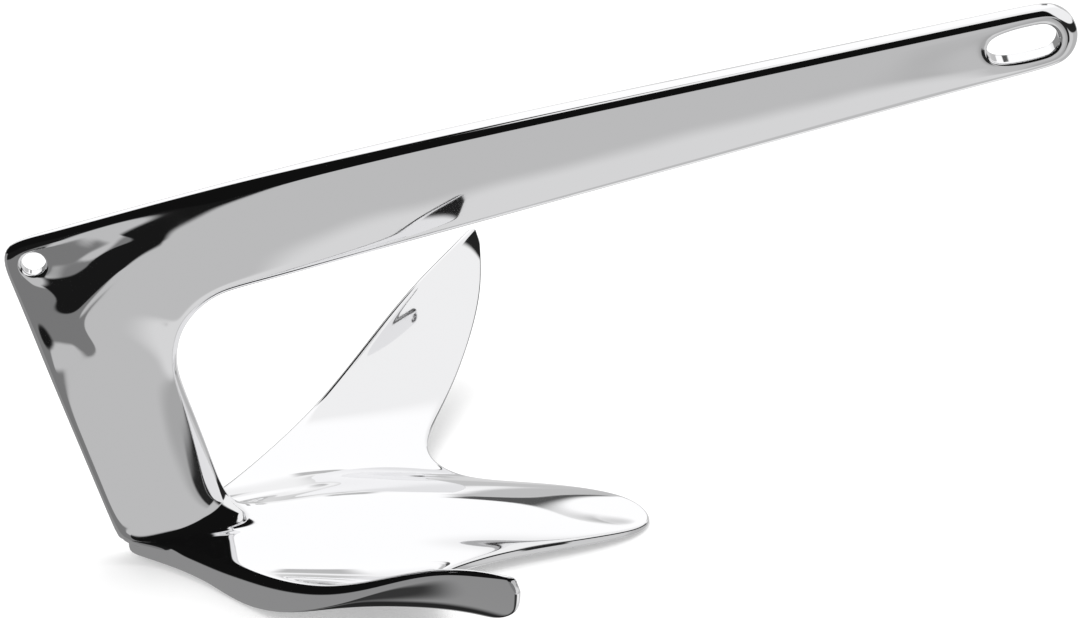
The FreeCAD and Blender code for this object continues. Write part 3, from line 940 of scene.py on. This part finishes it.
@dataclass
class Anchor:
    """The whole casting: the claw, the foot that grows out of it and the shank."""

    # The cells round the trip-line hole: steps from the corner's station, and rows.
    AROUND_TRIP_HOLE = (
        (-1, Row.OUTER_FLAT), (0, Row.OUTER_FLAT), (1, Row.OUTER_FLAT), (1, Row.HOLE),
        (1, Row.SHOULDER_FOOT), (0, Row.SHOULDER_FOOT), (-1, Row.SHOULDER_FOOT), (-1, Row.HOLE))

    claw: Claw = field(default_factory=Claw)
    shank: Shank = field(default_factory=Shank)
    settling: Settling = Settling()
    levels: int = 3
    # The inner sections bend towards the leg at the rear: to these sides, up to this share.
    rear_sides: tuple[float, ...] = (0.0, 8.5, 17.0, 26.0)
    bent_share: float = 0.45
    # The heel's upper rear round, in the first two sections.
    heel_upper: tuple[tuple[Spot, Spot], ...] = (
        ((-9.8, 0.0, 10.2), (-10.7, 0.0, 13.0)), ((-6.8, 6.8, 10.2), (-9.2, 5.6, 13.0)))
    # The rim that the leg grows from, and how many of the claw's rows it takes up.
    foot_rows: int = 9
    foot_ring: tuple[Spot, ...] = (
        (-11.2, 0.0, 11.5), (-10.6, 5.0, 11.5), (-6.8, 8.8, 11.5), (1.0, 9.6, 12.0),
        (10.0, 9.7, 13.5), (19.0, 9.7, 15.5), (28.0, 9.6, 17.8), (37.0, 9.2, 20.2),
        (46.0, 8.4, 22.6), (54.0, 7.0, 24.6), (59.0, 4.4, 25.8), (61.0, 0.0, 26.2))
    # How the side fluke's tip is closed: shares of its last section, and steps outward.
    tip_steps: tuple[tuple[float, float], ...] = ((0.85, 1.2), (0.5, 2.0))
    tip_outward: Spot = (0.1, 1.0, 0.45)
    # The shank's tags start here, and its open rims are looked for within these distances.
    shank_start: int = 100
    trip_reach: float = 60.0
    slot_reach: float = 40.0

    def build(self) -> bpy.types.Object:
        """Model the cage from the claw to the eye.

        Returns:
            The smooth casting, settled as it rests.
        """
        sections = [self.claw_section(index, side) for index, side in enumerate(self.claw.sides())]
        for section, spots in zip(sections, self.heel_upper):
            section[-len(spots):] = [Vector(spot) for spot in spots]
        cage = Cage(NODE + "_polished", sections[0])
        bpy.ops.mesh.select_all(action="SELECT")
        for index, section in enumerate(sections[1:], start=1):
            cage.extrude(lambda _, row, spot, section=section: section[row], index)
        self.close_tip(cage, sections[-1], len(sections))
        self.open_foot(cage)
        self.grow_shank(cage)
        self.cut_trip_hole(cage)
        self.cut_slot(cage)
        piece = cage.finish(self.levels)
        piece.data.transform(self.settling.matrix())
        return piece

    def claw_section(self, index: int, side: float) -> list[Vector]:
        """Make a section of the claw, bent towards the leg where it is one of the inner ones.

        Args:
            index: the section's place, counted from the middle plane.
            side: its distance from the middle plane.

        Returns:
            The ring of points.
        """
        shares = self.claw.shares(index)
        if index >= len(self.rear_sides):
            return self.claw.section(side, shares)
        points = []
        for row, position in enumerate(self.claw.ring_shares(index)):
            blend = eased(min(position / self.bent_share, 1.0))
            bent = self.rear_sides[index] * (1 - blend) + side * blend
            points.append(self.claw.section(bent, shares)[row])
        return points

    def close_tip(self, cage: Cage, section: Sequence[Vector], station: int) -> None:
        """Round off the side fluke's tip and close it.

        Args:
            cage: the cage, with the last section selected.
            section: that section's points.
            station: the tag of the tip's rings.
        """
        middle = sum(section, Vector()) / len(section)
        outward = Vector(self.tip_outward).normalized()
        for share, step in self.tip_steps:
            ring = [middle + (point - middle) * share + outward * step for point in section]
            cage.extrude(lambda _, row, spot, ring=ring: ring[row], station)
        bpy.ops.mesh.edge_face_add()

    def open_foot(self, cage: Cage) -> None:
        """Open the claw's top under the leg and shape the rim that the leg grows from.

        Args:
            cage: the cage, which is left with the rim selected.
        """
        def on_foot(station: int, row: int) -> bool:
            """Return whether a vertex belongs to the foot's opening."""
            return station in (0, 1) and row <= self.foot_rows

        def shape(station: int, row: int, spot: Vector) -> tuple[int, int, Vector] | None:
            """Return the tags and the place of the opening's vertices as the shank's rim."""
            if not on_foot(station, row):
                return None
            outer, inner = Row.OUTER_MIDDLE.value, Row.INNER_MIDDLE.value
            place = row + 1 if station == 1 else (outer if row == 0 else inner)
            return self.shank_start, place, Vector(self.foot_ring[place])

        cage.choose(on_foot)
        bpy.ops.mesh.delete(type="FACE")
        cage.edit(shape, everywhere=True)
        cage.choose(lambda station, row: station == self.shank_start)

    def grow_shank(self, cage: Cage) -> None:
        """Extrude the rim up the leg, round the bend, along the arm and round the eye.

        Args:
            cage: the cage, with the rim selected.
        """
        rings = [self.shank.row_points(station) for station in self.shank.stations()[:-1]]
        rings.append(self.shank.slot_start())
        for index, ring in enumerate(rings, start=self.shank_start + 1):
            cage.extrude(lambda _, row, spot, ring=ring: ring[row], index)
        last = self.shank_start + len(rings)
        cage.choose(lambda station, row: station == last and row <= Row.HOLE.value)
        for index, ring in enumerate(self.shank.eye_rings(), start=last + 1):
            cage.extrude(lambda _, row, spot, ring=ring: ring[row], index)

    def cut_trip_hole(self, cage: Cage) -> None:
        """Open the trip-line hole in the web and sink its wall to the middle plane.

        Args:
            cage: the cage with its shank.
        """
        shank = self.shank
        corner = next(
            index for index, station in enumerate(shank.stations(), start=self.shank_start + 1)
            if (station.outer - shank.corner()).length < MERGE_REACH)
        cage.choose(lambda station, row: station == corner and row == Row.HOLE.value)
        bpy.ops.mesh.delete(type="VERT")
        cage.choose_rim(shank.trip_hole, self.trip_reach)
        order = {(corner + step, row.value): index
                 for index, (step, row) in enumerate(self.AROUND_TRIP_HOLE)}
        for outside, depth in shank.trip_wall:
            cage.extrude(lambda station, row, spot, outside=outside, depth=depth:
                         shank.trip_wall_point(order[station, row], outside, depth))

    def cut_slot(self, cage: Cage) -> None:
        """Round the slot's rim and sink its wall to the middle plane.

        Args:
            cage: the cage with its eye.
        """
        shank = self.shank
        cage.merge()
        cage.choose_rim(shank.slot, self.slot_reach)
        for inward, depth in shank.slot_wall:
            cage.extrude(lambda station, row, spot, inward=inward, depth=depth:
                         shank.slot_wall_point(spot, inward, depth))


class Wiring:
    """The nodes of a material or of the world, with short ways to add to them."""

    def __init__(self, owner: bpy.types.Material | bpy.types.World) -> None:
        """Switch on the nodes of the material or the world."""
        owner.use_nodes = True
        self.nodes, self.links = owner.node_tree.nodes, owner.node_tree.links

    def fill(self, node: bpy.types.Node, inputs: dict[str | int, Value]) -> bpy.types.Node:
        """Set or link a node's inputs.

        Args:
            node: the node.
            inputs: values or other nodes' outputs, by the names or numbers of the inputs.

        Returns:
            The node.
        """
        for name, value in inputs.items():
            if isinstance(value, bpy.types.NodeSocket):
                self.links.new(value, node.inputs[name])
            else:
                node.inputs[name].default_value = value
        return node

    def add(self, kind: str, inputs: dict[str | int, Value]) -> bpy.types.Node:
        """Return a new node of a kind, with its inputs set or linked."""
        return self.fill(self.nodes.new(kind), inputs)

    def calculate(self, operation: str, *inputs: Value) -> bpy.types.NodeSocket:
        """Add a calculation.

        Args:
            operation: what it does.
            inputs: the numbers or outputs that it takes.

        Returns:
            Its result.
        """
        node = self.nodes.new("ShaderNodeMath")
        node.operation = operation
        return self.fill(node, dict(enumerate(inputs))).outputs["Value"]


@dataclass(frozen=True)
class PolishedSteel:
    """Stainless steel polished to a mirror, with the faint haze and waves of a hand's work."""

    colour: tuple[float, float, float, float] = (0.86, 0.86, 0.87, 1.0)
    clear_roughness: float = 0.02
    hazy_roughness: float = 0.05
    haze_scale: float = 45.0
    haze_detail: float = 3.0
    haze_low: float = 0.35
    haze_high: float = 0.7
    wave_scale: float = 22.0
    wave_depth: float = 0.00025

    def material(self) -> bpy.types.Material:
        """Make the finish.

        Returns:
            The material.
        """
        material = bpy.data.materials.new("mirror_polished_steel")
        wiring = Wiring(material)
        place = wiring.nodes.new("ShaderNodeTexCoord").outputs["Object"]
        haze = wiring.add("ShaderNodeTexNoise", {
            "Vector": place, "Scale": self.haze_scale, "Detail": self.haze_detail})
        roughness = wiring.add("ShaderNodeMapRange", {
            "Value": haze.outputs["Fac"], "From Min": self.haze_low, "From Max": self.haze_high,
            "To Min": self.clear_roughness, "To Max": self.hazy_roughness})
        wave = wiring.add("ShaderNodeTexNoise", {
            "Vector": place, "Scale": self.wave_scale, "Detail": 0.0})
        bump = wiring.add("ShaderNodeBump", {
            "Height": wave.outputs["Fac"], "Strength": 1.0, "Distance": self.wave_depth})
        wiring.fill(wiring.nodes["Principled BSDF"], {
            "Metallic": 1.0, "Base Color": self.colour,
            "Roughness": roughness.outputs["Result"], "Normal": bump.outputs["Normal"]})
        return material


@dataclass(frozen=True)
class Card:
    """A soft-edged card of painted reflection on the dome, in degrees round the anchor, that the
    polish reflects.

    Bearings run from the camera's side, 0, towards +X, 90, and rises from the horizon, 0, up to
    90. An edge is where the card has faded by half, and the soft fields are the fades' widths.
    """

    bearing_from: float
    bearing_to: float
    low: float
    high: float
    tone: float
    soft_bearing: float = 4.0
    soft_rise: float = 3.0

    def lay_over(self, wiring: Wiring, tone: Value, bearing: bpy.types.NodeSocket,
                 rise: bpy.types.NodeSocket) -> bpy.types.NodeSocket:
        """Lay the card over the tones before it.

        Args:
            wiring: the dome's nodes.
            tone: the tones before it.
            bearing: the bearing of the point that is looked at.
            rise: the rise of that point.

        Returns:
            The tones with the card.
        """
        middle, height = (self.bearing_from + self.bearing_to) / 2, (self.low + self.high) / 2
        aside = wiring.calculate("SUBTRACT", bearing, middle)
        aside = wiring.calculate("WRAP", aside, 180.0, -180.0)
        above = wiring.calculate("SUBTRACT", rise, height)
        width = self.bearing_to - self.bearing_from
        share = wiring.calculate(
            "MULTIPLY", self.inside(wiring, aside, width, self.soft_bearing),
            self.inside(wiring, above, self.high - self.low, self.soft_rise))
        kept = wiring.calculate("MULTIPLY", wiring.calculate("SUBTRACT", 1.0, share), tone)
        return wiring.calculate("MULTIPLY_ADD", share, self.tone, kept)

    @staticmethod
    def inside(wiring: Wiring, offset: bpy.types.NodeSocket, width: float,
               soft: float) -> bpy.types.NodeSocket:
        """Find whether a point lies inside the card in one direction.

        Args:
            wiring: the dome's nodes.
            offset: how far the point is from the card's middle.
            width: how wide the card is.
            soft: how wide its fade is.

        Returns:
            1 inside the card, 0 outside it and less than 1 in its fade.
        """
        fade = wiring.nodes.new("ShaderNodeMapRange")
        fade.interpolation_type = "SMOOTHSTEP"
        return wiring.fill(fade, {
            "Value": wiring.calculate("ABSOLUTE", offset),
            "From Min": (width + soft) / 2, "From Max": (width - soft) / 2}).outputs["Result"]


@dataclass
class PaintedReflectionDome:
    """What the polish reflects: a dome of painted reflections in soft tones, near-black round the
    horizon and on the camera's side, painted greys below and bright above.

    A card covers those that stand before it in the list.
    """

    radius: float = 6.0
    segments: int = 96
    rings: int = 48
    tone: float = 1.0
    # The cards paint the reflections' light and dark: near-black bands round the horizon and on the
    # camera's side, greys below and a brighter patch behind.
    cards: tuple[Card, ...] = (
        # Painted floor: the lower half stands in for the floor, which the polish does not see, in
        # painted greys that differ by bearing.
        Card(-181.0, 181.0, -120.0, -1.0, 0.57),
        Card(-30.0, 22.0, -120.0, -31.0, 0.765, 8.0, 4.5),
        Card(11.0, 24.0, -30.0, -1.0, 0.43, 4.0, 2.5),
        Card(24.0, 70.0, -50.0, -1.0, 0.68, 4.0, 20.0),
        Card(70.0, 145.0, -120.0, -1.0, 0.52, 20.0),
        Card(145.0, 185.0, -120.0, -1.0, 0.72, 10.0),
        Card(-175.0, -50.0, -120.0, 6.0, 0.29, 14.0),
        Card(-62.0, 30.0, -6.0, 12.0, 0.57),
        Card(-62.0, -7.2, -70.0, -23.0, 0.21, 1.0, 2.0),
        Card(-62.0, -11.5, -25.0, -13.0, 0.21, 2.0, 2.0),
        Card(-62.0, -10.0, -16.0, 14.0, 0.01, 2.0, 1.5),
        # Painted shadow: these two near-black low cards, behind on the left, paint the anchor's
        # shadow on the floor as the polish would reflect it.
        Card(-190.0, -163.0, -120.0, -40.0, 0.02, 10.0, 10.0),
        Card(-165.0, -120.0, -120.0, -63.0, 0.04, 15.0, 8.0),
        Card(145.0, 215.0, 15.0, 78.0, 1.15, 30.0, 10.0),
        Card(90.0, 160.0, -120.0, -62.0, 0.95, 15.0, 5.0),
        Card(145.0, 172.5, -2.0, 18.0, 0.58, 2.0, 1.5),
        Card(166.5, 172.5, 15.0, 23.0, 0.58, 1.5, 1.5),
        Card(145.0, 182.0, -2.0, 10.0, 0.6, 4.0, 3.0),
        Card(166.5, 171.5, 23.0, 27.5, 0.1, 1.5, 1.0),
        Card(24.0, 125.0, -12.0, 6.0, 0.02, 6.0, 3.0),
        Card(14.5, 30.0, -23.5, -7.0, 0.02, 2.0, 1.5),
        Card(178.0, 182.5, 13.0, 20.0, 0.55, 1.5, 1.5),
        Card(-150.0, -30.0, 2.0, 78.0, 0.006, 6.0, 2.0),
        Card(-40.0, 30.0, 8.5, 78.0, 0.006, 6.0, 2.0),
    )

    def build(self) -> bpy.types.Object:
        """Make the dome. Only the polish sees it.

        Returns:
            The dome.
        """
        bpy.ops.object.select_all(action="DESELECT")
        bpy.ops.mesh.primitive_uv_sphere_add(
            segments=self.segments, ring_count=self.rings, radius=self.radius)
        dome = bpy.context.active_object
        dome.name = "surround"
        dome.data.materials.append(self.material())
        dome.visible_camera = False
        dome.visible_diffuse = False
        dome.visible_shadow = False
        return dome

    def material(self) -> bpy.types.Material:
        """Make the dome's tones.

        Returns:
            A glowing material that lights nothing but what reflects it.
        """
        material = bpy.data.materials.new("surround")
        wiring = Wiring(material)
        wiring.nodes.remove(wiring.nodes["Principled BSDF"])
        place = wiring.nodes.new("ShaderNodeTexCoord").outputs["Object"]
        axes = wiring.add("ShaderNodeSeparateXYZ", {"Vector": place}).outputs
        towards = wiring.calculate("MULTIPLY", axes["Y"], -1.0)
        turn = wiring.calculate("ARCTAN2", axes["X"], towards)
        bearing = wiring.calculate("MULTIPLY", turn, math.degrees(1.0))
        lift = wiring.calculate("ARCSINE", wiring.calculate("DIVIDE", axes["Z"], self.radius))
        rise = wiring.calculate("MULTIPLY", lift, math.degrees(1.0))
        tone: Value = self.tone
        for card in self.cards:
            tone = card.lay_over(wiring, tone, bearing, rise)
        glow = wiring.add("ShaderNodeEmission", {"Strength": tone})
        wiring.fill(wiring.nodes["Material Output"], {"Surface": glow.outputs["Emission"]})
        material.cycles.emission_sampling = "NONE"
        return material


@dataclass
class Studio:
    """Pale floor, white surroundings, the dome that is reflected, a soft lamp and the camera.

    The camera's place and directions were found in the moulded frame.
    """

    settling: Settling = Settling()
    dome: PaintedReflectionDome = field(default_factory=PaintedReflectionDome)
    floor_size: float = 24.0
    floor_tone: float = 0.78
    background: float = 1.0
    surround: float = 1.0
    lamp_size: float = 1.6
    lamp_place: Spot = (0.0, 0.3, 2.4)
    lamp_power: float = 22.0
    focal_pixels: float = 5700.0
    sensor_width: float = 36.0
    view_reach: float = 50.0
    eye: Spot = (52.414, -2719.547, 1532.169)
    right: Spot = (0.9981348, -0.0610485, 0.0)
    up: Spot = (0.0277155, 0.4531437, 0.8910065)

    def build(self) -> list[str]:
        """Set up the whole studio.

        Returns:
            The names of what was set up.
        """
        made = [self.make_world(), self.make_floor(), self.dome.build(), self.make_lamp(),
                self.make_camera()]
        return [thing.name for thing in made]

    def make_world(self) -> bpy.types.World:
        """Make the surroundings white, to the camera and in the polish.

        Returns:
            The world.
        """
        world = bpy.data.worlds.new("white_surroundings")
        bpy.context.scene.world = world
        wiring = Wiring(world)
        around = wiring.fill(
            wiring.nodes["Background"], {"Color": WHITE, "Strength": self.surround})
        seen = wiring.add("ShaderNodeBackground", {"Color": WHITE, "Strength": self.background})
        path = wiring.nodes.new("ShaderNodeLightPath").outputs
        shown = wiring.calculate("MAXIMUM", path["Is Camera Ray"], path["Is Glossy Ray"])
        shown = wiring.calculate("MAXIMUM", shown, path["Is Transmission Ray"])
        mix = wiring.add("ShaderNodeMixShader", {
            "Fac": shown, 1: around.outputs["Background"], 2: seen.outputs["Background"]})
        wiring.fill(wiring.nodes["World Output"], {"Surface": mix.outputs["Shader"]})
        return world

    def make_floor(self) -> bpy.types.Object:
        """Lay the pale floor, which the camera sees as white, with the anchor's shadow on it.

        Returns:
            The floor.
        """
        bpy.ops.object.select_all(action="DESELECT")
        bpy.ops.mesh.primitive_plane_add(size=self.floor_size)
        floor = bpy.context.active_object
        floor.name = "floor"
        material = bpy.data.materials.new("pale_floor")
        wiring = Wiring(material)
        wiring.nodes.remove(wiring.nodes["Principled BSDF"])
        tone = (self.floor_tone, self.floor_tone, self.floor_tone, 1.0)
        matt = wiring.add("ShaderNodeBsdfDiffuse", {"Color": tone})
        path = wiring.nodes.new("ShaderNodeLightPath").outputs
        missing = wiring.calculate("MULTIPLY", path["Is Camera Ray"], 1.0 - self.floor_tone)
        glow = wiring.add("ShaderNodeEmission", {"Strength": missing})
        together = wiring.add("ShaderNodeAddShader", {
            0: matt.outputs["BSDF"], 1: glow.outputs["Emission"]})
        wiring.fill(wiring.nodes["Material Output"], {"Surface": together.outputs["Shader"]})
        floor.data.materials.append(material)
        floor.visible_glossy = False
        return floor

    def make_lamp(self) -> bpy.types.Object:
        """Hang one large soft lamp over the anchor, for its shadow.

        Returns:
            The lamp.
        """
        light = bpy.data.lights.new("softbox", "AREA")
        light.shape = "DISK"
        light.size = self.lamp_size
        light.energy = self.lamp_power
        lamp = bpy.data.objects.new("softbox", light)
        lamp.location = self.lamp_place
        lamp.visible_glossy = False
        bpy.context.scene.collection.objects.link(lamp)
        return lamp

    def make_camera(self) -> bpy.types.Object:
        """Place the photograph's camera.

        Returns:
            The camera.
        """
        lens = bpy.data.cameras.new("camera")
        lens.sensor_width = self.sensor_width
        lens.lens = self.focal_pixels / IMAGE_WIDTH * self.sensor_width
        lens.clip_end = self.view_reach
        camera = bpy.data.objects.new("camera", lens)
        right, up = Vector(self.right), Vector(self.up)
        axes = Matrix((right, up, right.cross(up))).transposed()
        place = (self.settling.turn(3) @ axes).to_4x4()
        place.translation = self.settling.matrix() @ Vector(self.eye)
        camera.matrix_world = place
        bpy.context.scene.collection.objects.link(camera)
        bpy.context.scene.camera = camera
        return camera


def main() -> None:
    """Model and dress the anchor, set up the studio and log the piece's face count and what was set
    up.
    """
    logging.basicConfig(level=logging.INFO)
    bpy.context.scene.view_settings.view_transform = "Standard"
    piece = Anchor().build()
    piece.data.materials.append(PolishedSteel().material())
    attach(piece, "root")
    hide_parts(NODE)
    log.info("%s: %d faces", piece.name, len(piece.data.polygons))
    for name in Studio().build():
        log.info("%s: set up", name)


if __name__ == "__main__":
    main()
